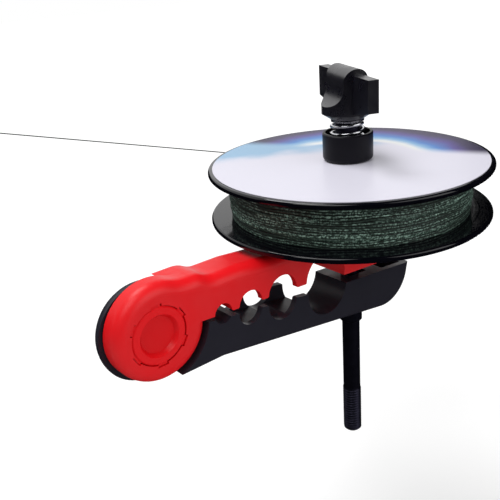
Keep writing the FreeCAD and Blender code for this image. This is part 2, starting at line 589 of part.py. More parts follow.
# Wing knob: round hub scooped to a domed ridge with two flat wings, moulded over a threaded bushing
# whose neck stands inside the spring.
knob = body("wing_knob")
drawing = sketch(knob, "HubSection", "XZ_Plane")
outline(drawing, (
    ("0", "knob_z"),
    ("knob_foot_r", "knob_z"),
    ("knob_r", "knob_rim_z"),
    ("knob_r", "knob_crest + past"),
    ("0", "knob_crest + past"),
))
turned(knob, "Revolution", "Hub", drawing)
drawing = sketch(knob, "Scoops", "XZ_Plane")
arc_x = "dome_r"
lip_x = "(dome_r + scoop_r - sqrt(scoop_r ^ 2 - (scoop_z - lip_z) ^ 2))"
for side, way in (("1", "-1"), ("-1", "1")):
    outline(drawing, (
        ("0", "knob_crest"),
        (f"{side} * {arc_x}", "knob_crest - dome_r", f"{way} * dome_r"),
        (f"{side} * {arc_x}", "scoop_z"),
        (f"{side} * {lip_x}", "lip_z", f"-{way} * scoop_r"),
        (f"{side} * 2 * knob_r", "lip_z"),
        (f"{side} * 2 * knob_r", "knob_crest + 2 * past"),
        ("0", "knob_crest + 2 * past"),
    ))
solid(knob, "Pocket", "ThumbScoops", drawing, "4 * knob_r", middle=True)
drawing = sketch(knob, "WingOutline", "YZ_Plane")
outline(drawing, (
    ("-dome_r", "knob_z + wing_rise"),
    ("dome_r", "knob_z + wing_rise"),
    ("wing_reach", "wing_tip_z"),
    ("wing_reach", "wing_top"),
    ("-wing_reach", "wing_top"),
    ("-wing_reach", "wing_tip_z"),
))
solid(knob, "Pad", "Wings", drawing, "wing_t", middle=True)
for name, top, reach in (("BushingRoom", "insert_top", "neck_r"),
                         ("StudRoom", "blind_top", "thread_r + stud_room")):
    drawing = sketch(knob, name, "XY_Plane", lift=top)
    circle(drawing, "0", "0", reach)
    solid(knob, "Pocket", name + "Bore", drawing, f"{top} - knob_z + past")
drawing = sketch(knob, "HexRoom", "XY_Plane", lift="knob_z + hex_rise + hex_tall")
outline(drawing, hexagon("0", "0", "hex_flats"))
solid(knob, "Pocket", "HexSocket", drawing, "hex_tall")
insert = body("knob_bushing")
drawing = sketch(insert, "BushingSection", "XZ_Plane")
outline(drawing, (
    ("thread_r + run_gap", "neck_foot"),
    ("neck_r - small_edge", "neck_foot"),
    ("neck_r", "neck_foot + small_edge"),
    ("neck_r", "insert_top"),
    ("thread_r + run_gap", "insert_top"),
))
turned(insert, "Revolution", "Bushing", drawing)
drawing = sketch(insert, "HexCollar", "XY_Plane", lift="knob_z + hex_rise")
outline(drawing, hexagon("0", "0", "hex_flats"))
circle(drawing, "0", "0", "(neck_r + thread_r) / 2")
solid(insert, "Pad", "HexCollarBlock", drawing, "hex_tall")
for piece in (knob, insert):
    piece.Placement.Rotation = FreeCAD.Rotation(Vector(0, 0, 1), 1)
    piece.setExpression("Placement.Rotation.Angle", bound("knob_turn"))
    piece.setExpression("Placement.Base.x", bound("stud_x"))

# Free line: one strand leaving the back of the winding under the upper flange, knotted at its end.
along = ("placement(vector(stud_x + (wind_r + lead_r + lead_gap) * cos(lead_at);"
         " (wind_r + lead_r + lead_gap) * sin(lead_at); lead_z); rotation(lead_at + 90; -lead_rise; 0))")
lead = body("free_line")
drawing = sketch(lead, "Strand", "YZ_Plane")
circle(drawing, "0", "0", "lead_r")
solid(lead, "Pad", "StrandLength", drawing, "lead_long")
knot = body("line_knot")
drawing = sketch(knot, "KnotSection", "XY_Plane")
outline(drawing, (
    ("lead_long", "0"),
    ("lead_long + 2 * knot_r", "0"),
    ("lead_long + knot_r", "knot_r", "knot_r"),
    ("lead_long", "knot_neck", "knot_flank_r"),
))
turned(knot, "Revolution", "Knot", drawing, axis="H_Axis")
for strand in (lead, knot):
    strand.setExpression("Placement", bound(along))
doc.recompute()
os.makedirs("parts", exist_ok=True)
for piece in [found for found in doc.Objects if found.TypeId == "PartDesign::Body"]:
    shape = piece.Shape
    states = [feature.Name for feature in piece.Group if "Invalid" in feature.State or "Error" in feature.State]
    if states or shape.isNull() or not shape.isValid():
        raise SystemExit(f"{piece.Label} is not sound: {states}")
    shape.exportStep(f"parts/{piece.Label}.step")
    print(piece.Label, len(shape.Solids), round(shape.Volume, 1), shape.BoundBox)
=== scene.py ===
import math

import bpy
from mathutils import Matrix, Vector, noise


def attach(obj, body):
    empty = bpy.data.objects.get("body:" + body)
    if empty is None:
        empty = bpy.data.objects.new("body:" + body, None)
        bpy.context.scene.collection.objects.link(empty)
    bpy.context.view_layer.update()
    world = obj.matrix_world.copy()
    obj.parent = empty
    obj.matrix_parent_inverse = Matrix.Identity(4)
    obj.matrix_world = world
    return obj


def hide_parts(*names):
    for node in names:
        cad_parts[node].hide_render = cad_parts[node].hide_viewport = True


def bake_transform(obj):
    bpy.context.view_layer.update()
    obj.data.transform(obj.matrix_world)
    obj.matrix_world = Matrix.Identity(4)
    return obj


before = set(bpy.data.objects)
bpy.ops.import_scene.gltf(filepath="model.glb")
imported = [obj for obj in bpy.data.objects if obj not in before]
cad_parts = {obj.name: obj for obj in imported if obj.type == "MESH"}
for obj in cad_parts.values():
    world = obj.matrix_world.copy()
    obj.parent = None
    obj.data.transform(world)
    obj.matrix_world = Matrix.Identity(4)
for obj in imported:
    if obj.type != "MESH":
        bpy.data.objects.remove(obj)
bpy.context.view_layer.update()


# Camera: it stands above and to the left of the hinge and looks along the arms to the spool.
# A 52 mm lens on a 36 mm sensor holds the winder from the hinge cheek to the spool's far rim.
lens = bpy.data.cameras.new("camera")
lens.lens = 51.9
lens.sensor_width = 36.0
lens.clip_start = 0.01
camera = bpy.data.objects.new("camera", lens)
bpy.context.scene.collection.objects.link(camera)
camera_axes = (
    (0.76609, -0.63917, -0.06762),
    (0.28866, 0.24815, 0.92471),
    (-0.57427, -0.72793, 0.37461),
)
camera_turn = Matrix(camera_axes).transposed().to_4x4()
camera.matrix_world = Matrix.Translation((-0.12905, -0.1892, 0.1124)) @ camera_turn
bpy.context.scene.camera = camera


# Free line: one strand of braided polyethylene, 0.44 mm thick, that leaves the back of the winding
# under the upper flange. The reel being filled keeps it taut, so it runs straight to its knot.
def ink(hex_colour):
    """The linear colour, with full alpha, of an sRGB hex value."""
    shades = []
    for start in (1, 3, 5):
        level = int(hex_colour[start:start + 2], 16) / 255
        shades.append(level / 12.92 if level <= 0.04045 else ((level + 0.055) / 1.055) ** 2.4)
    return (*shades, 1.0)


def add(tree, kind, links=None, **settings):
    """Adds one shader node. links maps its sockets to values or to the sockets that feed them."""
    made = tree.nodes.new(kind)
    for name, setting in settings.items():
        setattr(made, name, setting)
    for socket, source in (links or {}).items():
        if isinstance(source, bpy.types.NodeSocket):
            tree.links.new(source, made.inputs[socket])
        else:
            made.inputs[socket].default_value = source
    return made


def finish(name):
    """A new material, emptied of nodes, and its node tree."""
    made = bpy.data.materials.new(name)
    made.use_nodes = True
    made.node_tree.nodes.clear()
    return made, made.node_tree


def in_mm(tree, centre=(0, 0, 0)):
    """The piece's own coordinates in millimetres, measured from centre, which is in metres."""
    place = add(tree, "ShaderNodeTexCoord")
    moved = add(tree, "ShaderNodeVectorMath", {0: place.outputs["Object"], 1: centre},
                operation="SUBTRACT")
    scaled = add(tree, "ShaderNodeVectorMath", {0: moved.outputs[0], "Scale": 1000},
                 operation="SCALE")
    return scaled.outputs[0]


def braided(name, dark, light, plait):
    """Braided polyethylene: waxy crossing yarns, plait millimetres from one to the next."""
    made, tree = finish(name)
    place = in_mm(tree)
    yarns = add(tree, "ShaderNodeTexWave",
                {"Vector": place, "Scale": 0.314 / plait, "Distortion": 1.5,
                 "Detail Scale": 1 / plait}, bands_direction="DIAGONAL")
    lint = add(tree, "ShaderNodeTexNoise", {"Vector": place, "Scale": 1 / (3 * plait), "Detail": 3})
    share = add(tree, "ShaderNodeMath", {0: yarns.outputs["Fac"], 1: lint.outputs["Fac"]},
                operation="MULTIPLY")
    colour = add(tree, "ShaderNodeMix",
                 {"Factor": share.outputs[0], "A": ink(dark), "B": ink(light)}, data_type="RGBA")
    relief = add(tree, "ShaderNodeBump",
                 {"Height": yarns.outputs["Fac"], "Strength": 0.5, "Distance": 0.00006})
    shader = add(tree, "ShaderNodeBsdfPrincipled",
                 {"Base Color": colour.outputs["Result"], "Roughness": 0.62, "IOR": 1.5,
                  "Sheen Weight": 0.2, "Normal": relief.outputs[0]})
    add(tree, "ShaderNodeOutputMaterial", {"Surface": shader.outputs[0]})
    return made


# Polyethylene yarn is slightly waxy, so the single strand reads as a mid grey with a green cast.
free_braid = braided("braided_polyethylene_strand", "#343B39", "#666D6A", 0.35)
line_start = Vector((0.08585, 0.04594, 0.027))
line_way = Vector((-0.9302, 0.2773, 0.2402))
line_long, line_thick = 0.130, 0.00044
line_curve = bpy.data.curves.new("free_line_strand", "CURVE")
line_curve.dimensions = "3D"
line_curve.bevel_depth = line_thick / 2
line_curve.bevel_resolution = 3
line_curve.use_fill_caps = True
line_spline = line_curve.splines.new("NURBS")
line_spline.points.add(4)
for point, share in zip(line_spline.points, (0, 0.05, 0.4, 0.75, 1)):
    point.co = (*(line_start + line_way * line_long * share), 1)
line_spline.order_u = 3
line_spline.use_endpoint_u = True
line_curve.materials.append(free_braid)
free_line = bpy.data.objects.new("free_line_strand", line_curve)
bpy.context.scene.collection.objects.link(free_line)
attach(free_line, "clamp_body")
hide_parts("free_line")

# The knot is a plain overhand knot, drawn tight, with its short tail on the far side.
knot_curve = bpy.data.curves.new("line_end_knot", "CURVE")
knot_curve.dimensions = "3D"
knot_curve.bevel_depth = 0.0002
knot_curve.bevel_resolution = 3
knot_curve.use_fill_caps = True
knot_steps, knot_reach, knot_size = 19, 0.0009, 0.00021
knot_spline = knot_curve.splines.new("NURBS")
knot_spline.points.add(knot_steps)
knot_centre = line_start + line_way * (line_long + knot_reach)
knot_turn = line_way.to_track_quat("X", "Z")
for number, point in enumerate(knot_spline.points):
    angle = math.radians(60) + number / knot_steps * math.radians(300)
    bend = Vector((math.sin(angle) + 2 * math.sin(2 * angle),
                   math.cos(angle) - 2 * math.cos(2 * angle),
                   -math.sin(3 * angle)))
    point.co = (*(knot_centre + knot_turn @ (bend * knot_size)), 1)
knot_spline.order_u = 3
knot_spline.use_endpoint_u = True
knot_curve.materials.append(free_braid)
line_knot = bpy.data.objects.new("line_end_knot", knot_curve)
bpy.context.scene.collection.objects.link(line_knot)
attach(line_knot, "clamp_body")
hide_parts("line_knot")


# Upper arm: one injection moulding in red ABS, a hollow channel whose round hinge cheek
# stands on the near side. It carries the spool, and its underside has the rod notches.
def moulded(name, colour, shade, rough, gloss=0.5, grain=0.45, depth=0.006):
    """Moulded plastic: colour that drifts, smeared gloss and the grain of a spark-eroded tool.

    grain is the grain's size in millimetres and depth its depth in thousandths of one.
    """
    made, tree = finish(name)
    place = in_mm(tree)
    drift = add(tree, "ShaderNodeTexNoise", {"Vector": place, "Scale": 1 / 22, "Detail": 2})
    colour = add(tree, "ShaderNodeMix",
                 {"Factor": drift.outputs["Fac"], "A": ink(colour), "B": ink(shade)},
                 data_type="RGBA")
    smear = add(tree, "ShaderNodeTexNoise", {"Vector": place, "Scale": 1 / 5, "Detail": 4})
    sheen = add(tree, "ShaderNodeMapRange",
                {"Value": smear.outputs["Fac"], "From Min": 0.3, "From Max": 0.7,
                 "To Min": rough - 0.05, "To Max": rough + 0.06})
    pits = add(tree, "ShaderNodeTexNoise", {"Vector": place, "Scale": 1 / grain, "Detail": 2})
    relief = add(tree, "ShaderNodeBump",
                 {"Height": pits.outputs["Fac"], "Strength": 0.35, "Distance": depth / 1000})
    shader = add(tree, "ShaderNodeBsdfPrincipled",
                 {"Base Color": colour.outputs["Result"], "Roughness": sheen.outputs[0],
                  "IOR": 1.53, "Specular IOR Level": gloss, "Normal": relief.outputs[0]})
    add(tree, "ShaderNodeOutputMaterial", {"Surface": shader.outputs[0]})
    return made


def dress(node, look, edge=0.0):
    """Gives a CAD piece its finish and breaks its sharp corners by edge metres, where set."""
    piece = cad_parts[node]
    piece.data.materials.clear()
    piece.data.materials.append(look)
    if edge:
        worn = piece.modifiers.new("broken_edges", "BEVEL")
        worn.width = edge
        worn.segments = 2
        worn.limit_method = "ANGLE"
        worn.angle_limit = math.radians(50)
        worn.harden_normals = True


# ABS takes a deep colour and a soft satin gloss, which runs to pale pink along rounded edges.
red_abs = moulded("red_abs", "#EA141C", "#DC0E16", 0.36, gloss=0.28)
dress("upper_arm", red_abs, 0.0004)


# Hinge cap: a red ABS disc that presses into the cheek over the nut. Six small lugs
# in matching slots hold it, and a shallow dish in its face takes a finger or a coin.
cap_abs, tree = finish("red_abs_cap")
place = in_mm(tree, (-0.02595, 0, 0.00168))
parts = add(tree, "ShaderNodeSeparateXYZ", {0: place})
flat = add(tree, "ShaderNodeCombineXYZ", {"X": parts.outputs["X"], "Z": parts.outputs["Z"]})
reach = add(tree, "ShaderNodeVectorMath", {0: flat.outputs[0]}, operation="LENGTH")
# Painted shade: the red inside the dish is painted darker, standing in for the shade that falls in
# its recess.
dish_painted_shade = add(tree, "ShaderNodeMapRange",
             {"Value": reach.outputs["Value"], "From Min": 6.2, "From Max": 7.6,
              "To Min": 1.0, "To Max": 0.0}, interpolation_type="SMOOTHSTEP")
red = add(tree, "ShaderNodeMix",
          {"Factor": dish_painted_shade.outputs[0], "A": ink("#E6121A"), "B": ink("#DA0D15")},
          data_type="RGBA")
rub = add(tree, "ShaderNodeTexNoise", {"Vector": place, "Scale": 1 / 3, "Detail": 4})
sheen = add(tree, "ShaderNodeMapRange",
            {"Value": rub.outputs["Fac"], "To Min": 0.26, "To Max": 0.4})
pits = add(tree, "ShaderNodeTexNoise", {"Vector": place, "Scale": 1 / 0.45, "Detail": 2})
relief = add(tree, "ShaderNodeBump",
             {"Height": pits.outputs["Fac"], "Strength": 0.35, "Distance": 0.000006})
shader = add(tree, "ShaderNodeBsdfPrincipled",
             {"Base Color": red.outputs["Result"], "Roughness": sheen.outputs[0], "IOR": 1.53,
              "Specular IOR Level": 0.2, "Normal": relief.outputs[0]})
add(tree, "ShaderNodeOutputMaterial", {"Surface": shader.outputs[0]})
dress("hinge_cap", cap_abs)


# Lower arm: a second hollow moulding in black ABS with its cheek on the far side.
# It turns on the hinge sleeve and closes on the rod from below.
# Black ABS is nearly neutral and satin, so it shows mostly by the light along its edges.
black_abs = moulded("black_abs", "#2A2932", "#22212A", 0.36, gloss=0.22)
dress("lower_arm", black_abs, 0.00025)


# Hinge hardware: a steel sleeve pressed in the upper arm, a slotted pan-head screw and its nut
# in zinc-plated steel, and two nylon washers, one under the head and one between the cheeks.
def metal(name, colour, rough, scratch=0.6):
    """Bare or plated metal with fine turning marks and a little variation in its polish."""
    made, tree = finish(name)
    place = in_mm(tree)
    marks = add(tree, "ShaderNodeTexNoise",
                {"Vector": place, "Scale": 1 / scratch, "Detail": 5, "Distortion": 0.8})
    sheen = add(tree, "ShaderNodeMapRange",
                {"Value": marks.outputs["Fac"], "From Min": 0.3, "From Max": 0.7,
                 "To Min": rough - 0.06, "To Max": rough + 0.08})
    relief = add(tree, "ShaderNodeBump",
                 {"Height": marks.outputs["Fac"], "Strength": 0.25, "Distance": 0.00001})
    shader = add(tree, "ShaderNodeBsdfPrincipled",
                 {"Base Color": ink(colour), "Metallic": 1.0, "Roughness": sheen.outputs[0],
                  "Normal": relief.outputs[0]})
    add(tree, "ShaderNodeOutputMaterial", {"Surface": shader.outputs[0]})
    return made


# Zinc plate is a bluish grey with a soft shine, and the ground sleeve is brighter.
zinc_plate = metal("zinc_plated_steel", "#B4B6BA", 0.3)
dress("hinge_screw", zinc_plate, 0.0001)
dress("hinge_nut", zinc_plate, 0.0001)
dress("hinge_sleeve", metal("ground_steel", "#C6C7CA", 0.2))
# Natural nylon is a milky off-white, dull where the cheeks rub on it.
nylon = moulded("natural_nylon", "#DAD7CC", "#CFCBBE", 0.5)
dress("cheek_washer", nylon)
dress("rear_washer", nylon, 0.0001)


# Stud: an M8 rod in blackened steel, threaded at both ends. It goes up through both arms, the
# spool and the brake into the wing knob, and its plain middle lets the arms and the spool slide.
def barrel(name, heights, columns, radius_at, centre):
    """A closed turned shape, in metres, whose radius is radius_at(height, angle)."""
    corners, faces = [], []
    for height in heights:
        for column in range(columns):
            angle = 2 * math.pi * column / columns
            radius = radius_at(height, angle)
            corners.append((centre[0] + radius * math.cos(angle),
                            centre[1] + radius * math.sin(angle), height))
    for row in range(len(heights) - 1):
        for column in range(columns):
            here, beside = row * columns + column, row * columns + (column + 1) % columns
            faces.append((here, beside, beside + columns, here + columns))
    faces.append(tuple(reversed(range(columns))))
    faces.append(tuple(range(len(corners) - columns, len(corners))))
    shape = bpy.data.meshes.new(name)
    shape.from_pydata(corners, [], faces)
    for face in shape.polygons[:-2]:
        face.use_smooth = True
    piece = bpy.data.objects.new(name, shape)
    bpy.context.scene.collection.objects.link(piece)
    return piece


stud_foot, stud_head = -0.088, 0.060
thread_foot, thread_head = -0.0661, 0.0502
pitch, root_r, tooth_high, shank_r, chamfer_r = 0.00125, 0.00334, 0.00062, 0.0037, 0.0032
thread_step = 0.0002
stud_heights = [stud_foot + thread_step * step for step in range(110)]
stud_heights += [thread_foot, thread_foot + 0.0003, thread_foot + 0.0004]
stud_heights += [-0.04, -0.01, 0.02, thread_head - 0.0004]
stud_heights += [thread_head + thread_step * step for step in range(50)]


def stud_radius(height, angle):
    """Plain shank between two 60 degree threads with flattened crests and chamfered ends."""
    if thread_foot < height < thread_head:
        return shank_r
    along = (height / pitch - angle / (2 * math.pi)) % 1
    tooth = min(1.0, 2.6 * min(along, 1 - along))
    return min(root_r + tooth_high * tooth, chamfer_r + height - stud_foot,
               chamfer_r + stud_head - height)


# A hot oil black leaves the steel dark and faintly blue, with bare glints along the thread crests.
black_steel, tree = finish("blackened_steel")
place = in_mm(tree)
blotch = add(tree, "ShaderNodeTexNoise", {"Vector": place, "Scale": 1 / 4, "Detail": 5})
colour = add(tree, "ShaderNodeMix",
             {"Factor": blotch.outputs["Fac"], "A": ink("#232230"), "B": ink("#343343")},
             data_type="RGBA")
sheen = add(tree, "ShaderNodeMapRange",
            {"Value": blotch.outputs["Fac"], "To Min": 0.3, "To Max": 0.52})
marks = add(tree, "ShaderNodeTexNoise", {"Vector": place, "Scale": 1 / 0.5, "Detail": 3})
relief = add(tree, "ShaderNodeBump",
             {"Height": marks.outputs["Fac"], "Strength": 0.25, "Distance": 0.00001})
shader = add(tree, "ShaderNodeBsdfPrincipled",
             {"Base Color": colour.outputs["Result"], "Metallic": 0.9,
              "Roughness": sheen.outputs[0], "Normal": relief.outputs[0]})
add(tree, "ShaderNodeOutputMaterial", {"Surface": shader.outputs[0]})
stud_axis = (0.07215, 0.0)
stud = barrel("stud_rod", stud_heights, 40, stud_radius, stud_axis)
stud.data.materials.append(black_steel)
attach(stud, "stud_body")
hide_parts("stud")


# Stud collar: a split ring in the same blackened steel that snaps on the stud under
# the lower arm, so the stud draws the arm up with it as the knob is tightened.
dress("stud_collar", black_steel, 0.0001)


# Spool seat: a turned black ABS foot on the upper arm, whose nose centres the spool.
dress("spool_seat", black_abs)


# Spool: two flanges moulded in black polystyrene, the lower one with the core, plugged together.
# Polystyrene comes off a polished tool, so it is glossy, with fine circular scuffs from handling.
def polished(name, colour, rough, gloss):
    """Glossy moulded plastic with a little dust and faint scuffs in rings round the stud."""
    made, tree = finish(name)
    place = in_mm(tree, (*stud_axis, 0))
    parts = add(tree, "ShaderNodeSeparateXYZ", {0: place})
    flat = add(tree, "ShaderNodeCombineXYZ", {"X": parts.outputs["X"], "Y": parts.outputs["Y"]})
    reach = add(tree, "ShaderNodeVectorMath", {0: flat.outputs[0]}, operation="LENGTH")
    rings = add(tree, "ShaderNodeTexNoise",
                {"W": reach.outputs["Value"], "Scale": 1 / 0.9, "Detail": 4}, noise_dimensions="1D")
    dust = add(tree, "ShaderNodeTexNoise", {"Vector": place, "Scale": 1 / 7, "Detail": 5})
    both = add(tree, "ShaderNodeMath", {0: rings.outputs["Fac"], 1: dust.outputs["Fac"]},
               operation="MULTIPLY")
    sheen = add(tree, "ShaderNodeMapRange",
                {"Value": both.outputs[0], "From Min": 0.1, "From Max": 0.45,
                 "To Min": rough, "To Max": rough + 0.1})
    relief = add(tree, "ShaderNodeBump",
                 {"Height": rings.outputs["Fac"], "Strength": 0.2, "Distance": 0.00001})
    shader = add(tree, "ShaderNodeBsdfPrincipled",
                 {"Base Color": ink(colour), "Roughness": sheen.outputs[0], "IOR": 1.59,
                  "Specular IOR Level": gloss, "Normal": relief.outputs[0]})
    add(tree, "ShaderNodeOutputMaterial", {"Surface": shader.outputs[0]})
    return made


black_styrene = polished("black_polystyrene", "#06060C", 0.06, 0.3)
dress("lower_flange", black_styrene)
dress("upper_flange", black_styrene)


# Spool label: a round of coated paper glued to the upper flange, printed with a plain wash
# of blue and a fan of blue and violet arcs along part of its rim, under a clear gloss varnish.
paper, tree = finish("varnished_label_paper")
spool_top, cloud_size = 0.0372, 26
place = in_mm(tree, (*stud_axis, spool_top))
cloud = add(tree, "ShaderNodeTexNoise", {"Vector": place, "Scale": 1 / cloud_size, "Detail": 4})
spread = add(tree, "ShaderNodeVectorMath", {0: cloud.outputs["Color"], 1: (0.5, 0.5, 0.5)},
             operation="SUBTRACT")
spread = add(tree, "ShaderNodeVectorMath", {0: spread.outputs[0], "Scale": cloud_size},
             operation="SCALE")
bent = add(tree, "ShaderNodeVectorMath", {0: place, 1: spread.outputs[0]}, operation="ADD")
reach = add(tree, "ShaderNodeVectorMath", {0: place}, operation="LENGTH")
side = add(tree, "ShaderNodeVectorMath", {0: bent.outputs[0], 1: (0.45, 0.893, 0)},
           operation="DOT_PRODUCT")
wash = add(tree, "ShaderNodeMapRange",
           {"Value": side.outputs["Value"], "From Min": 10, "From Max": 25},
           interpolation_type="SMOOTHSTEP")
sky = add(tree, "ShaderNodeMix",
          {"Factor": wash.outputs[0], "A": ink("#D6D4E0"), "B": ink("#8FB3D0")},
          data_type="RGBA")
swing = add(tree, "ShaderNodeVectorMath", {0: place, 1: (0.9, 0.436, 0)}, operation="DOT_PRODUCT")
fan = add(tree, "ShaderNodeMapRange",
          {"Value": swing.outputs["Value"], "From Min": 12, "From Max": 22},
          interpolation_type="SMOOTHSTEP")
streak = add(tree, "ShaderNodeMath",
             {0: cloud.outputs["Fac"], 1: 9.0, 2: reach.outputs["Value"]}, operation="MULTIPLY_ADD")
arcs = add(tree, "ShaderNodeMapRange",
           {"Value": streak.outputs[0], "From Min": 30, "From Max": 58})
print_ink = add(tree, "ShaderNodeValToRGB", {"Fac": arcs.outputs[0]})
stops = print_ink.color_ramp
stops.elements[0].position, stops.elements[0].color = 0.0, ink("#D6D4E0")
stops.elements[1].position, stops.elements[1].color = 1.0, ink("#241C3A")
for spot, shade in ((0.16, "#DEE0DF"), (0.3, "#86B0D2"), (0.46, "#3F78BC"),
                    (0.66, "#4E4189"), (0.82, "#33274F")):
    stops.elements.new(spot).color = ink(shade)
print_share = add(tree, "ShaderNodeMapRange",
                  {"Value": arcs.outputs[0], "From Min": 0.0, "From Max": 0.1})
both = add(tree, "ShaderNodeMath", {0: fan.outputs[0], 1: print_share.outputs[0]},
           operation="MULTIPLY")
colour = add(tree, "ShaderNodeMix",
             {"Factor": both.outputs[0], "A": sky.outputs["Result"],
              "B": print_ink.outputs["Color"]}, data_type="RGBA")
pulp = add(tree, "ShaderNodeTexNoise", {"Vector": place, "Scale": 1 / 2.5, "Detail": 4})
relief = add(tree, "ShaderNodeBump",
             {"Height": pulp.outputs["Fac"], "Strength": 0.15, "Distance": 0.00002})
shader = add(tree, "ShaderNodeBsdfPrincipled",
             {"Base Color": colour.outputs["Result"], "Roughness": 0.4, "IOR": 1.5,
              "Specular IOR Level": 0.2, "Coat Weight": 0.1, "Coat Roughness": 0.15,
              "Normal": relief.outputs[0]})
add(tree, "ShaderNodeOutputMaterial", {"Surface": shader.outputs[0]})
dress("spool_label", paper)


# Winding: some hundreds of metres of the same braid, laid on the core by machine in slightly
# wandering turns, with strays that cross them. The turns are drawn over twice as coarse as the
# real ones.
wind_foot, wind_head, wind_edge = 0.0182, 0.0350, 0.0467
lay_pitch, turn_deep, wind_bulge = 0.00098, 0.00034, 0.0005
wind_rows, wind_columns = 150, 260
strays = [(0.4 + 0.83 * number, 0.9 + 0.35 * (number % 4), 0.02 + 0.0021 * (number * 5 % 7),
           0.0018 * (number % 3 - 1) + 0.0006) for number in range(16)]


def winding_radius(height, angle):
    """The bulged winding with its round turns standing on it and the strays on top of those."""
    share = (height - wind_foot) / (wind_head - wind_foot)
    base = wind_edge + wind_bulge * 4 * share * (1 - share)
    ring = Vector((2.2 * math.cos(angle), 2.2 * math.sin(angle), height * 260))
    drift = 0.0011 * noise.noise(ring)
    along = ((height + drift) / lay_pitch + angle / (2 * math.pi)) % 1
    turn = math.sqrt(max(0.0, 1 - (2 * along - 1) ** 2))
    top = turn_deep * turn - turn_deep
    for begin, reach, start, climb in strays:
        past = (angle - begin) % (2 * math.pi)
        if past < reach:
            away = abs(height - start - climb * past / reach) / (lay_pitch * 0.45)
            if away < 1:
                top = max(top, 0.00016 * math.sqrt(1 - away ** 2) + 0.00006)
    return base + top


wind_heights = [wind_foot + (wind_head - wind_foot) * step / wind_rows
                for step in range(wind_rows + 1)]
winding = barrel("line_winding_turns", wind_heights, wind_columns, winding_radius, stud_axis)
# How far each point lies below the crest of the turns; the material paints shade by it between the
# turns.
gap_shade_depth = winding.data.attributes.new("between_turns", "FLOAT", "POINT")
for number, corner in enumerate(winding.data.vertices):
    share = (corner.co.z - wind_foot) / (wind_head - wind_foot)
    crest = wind_edge + wind_bulge * 4 * share * (1 - share)
    sunk = crest - math.hypot(corner.co.x - stud_axis[0], corner.co.y)
    gap_shade_depth.data[number].value = min(1.0, max(0.0, sunk / turn_deep))

# Dark green braid: waxy yarns, paler where they cross, with painted shade, near black, between the
# turns.
wound_braid, tree = finish("braided_polyethylene")
place = in_mm(tree, (*stud_axis, 0))
deep = add(tree, "ShaderNodeAttribute", attribute_name="between_turns")
parts = add(tree, "ShaderNodeSeparateXYZ", {0: place})
around = add(tree, "ShaderNodeMath", {0: parts.outputs["Y"], 1: parts.outputs["X"]},
             operation="ARCTAN2")
around = add(tree, "ShaderNodeMath", {0: around.outputs[0], 1: 47.0}, operation="MULTIPLY")
spread = add(tree, "ShaderNodeCombineXYZ", {"X": around.outputs[0], "Y": parts.outputs["Z"]})
run = add(tree, "ShaderNodeVectorMath", {0: spread.outputs[0], 1: (0.4, 1.0, 1.0)},
          operation="MULTIPLY")
plait = add(tree, "ShaderNodeTexNoise", {"Vector": run.outputs[0], "Scale": 1 / 0.6, "Detail": 3})
fleck = add(tree, "ShaderNodeTexNoise", {"Vector": place, "Scale": 1 / 0.6, "Detail": 3})
long = add(tree, "ShaderNodeVectorMath", {0: spread.outputs[0], 1: (0.04, 1.0, 1.0)},
           operation="MULTIPLY")
patch = add(tree, "ShaderNodeTexNoise", {"Vector": long.outputs[0], "Scale": 1 / 1.6, "Detail": 2})
shadow = add(tree, "ShaderNodeMapRange",
             {"Value": patch.outputs["Fac"], "From Min": 0.35, "From Max": 0.65})
spark = add(tree, "ShaderNodeMath", {0: plait.outputs["Fac"], 1: fleck.outputs["Fac"]},
            operation="MULTIPLY")
pale = add(tree, "ShaderNodeMapRange",
           {"Value": spark.outputs[0], "From Min": 0.22, "From Max": 0.36})
green = add(tree, "ShaderNodeMix",
            {"Factor": pale.outputs[0], "A": ink("#24382F"), "B": ink("#A6CAB9")},
            data_type="RGBA")
tone = add(tree, "ShaderNodeMix",
           {"Factor": shadow.outputs[0], "A": green.outputs["Result"], "B": ink("#22332B")},
           data_type="RGBA")
# Painted shade: near black in the hollows between the turns, where the turns shade each other.
painted_gap_shade = add(tree, "ShaderNodeMapRange",
          {"Value": deep.outputs["Fac"], "From Min": 0.05, "From Max": 0.5})
colour = add(tree, "ShaderNodeMix",
             {"Factor": painted_gap_shade.outputs[0], "A": tone.outputs["Result"], "B": ink("#040706")},
             data_type="RGBA")
relief = add(tree, "ShaderNodeBump",
             {"Height": spark.outputs[0], "Strength": 0.5, "Distance": 0.0001})
shader = add(tree, "ShaderNodeBsdfPrincipled",
             {"Base Color": colour.outputs["Result"], "Roughness": 0.55, "IOR": 1.5,
              "Specular IOR Level": 0.35, "Normal": relief.outputs[0]})
add(tree, "ShaderNodeOutputMaterial", {"Surface": shader.outputs[0]})
winding.data.materials.append(wound_braid)
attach(winding, "spool")
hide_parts("line_winding")


# Brake cup: a black ABS cup whose nose centres the spool from above. The spring stands on
# its floor and presses it on the label.
cup_abs = moulded("black_abs_cup", "#0D0C14", "#09080E", 0.34, gloss=0.15)
dress("spring_cup", cup_abs, 0.0002)


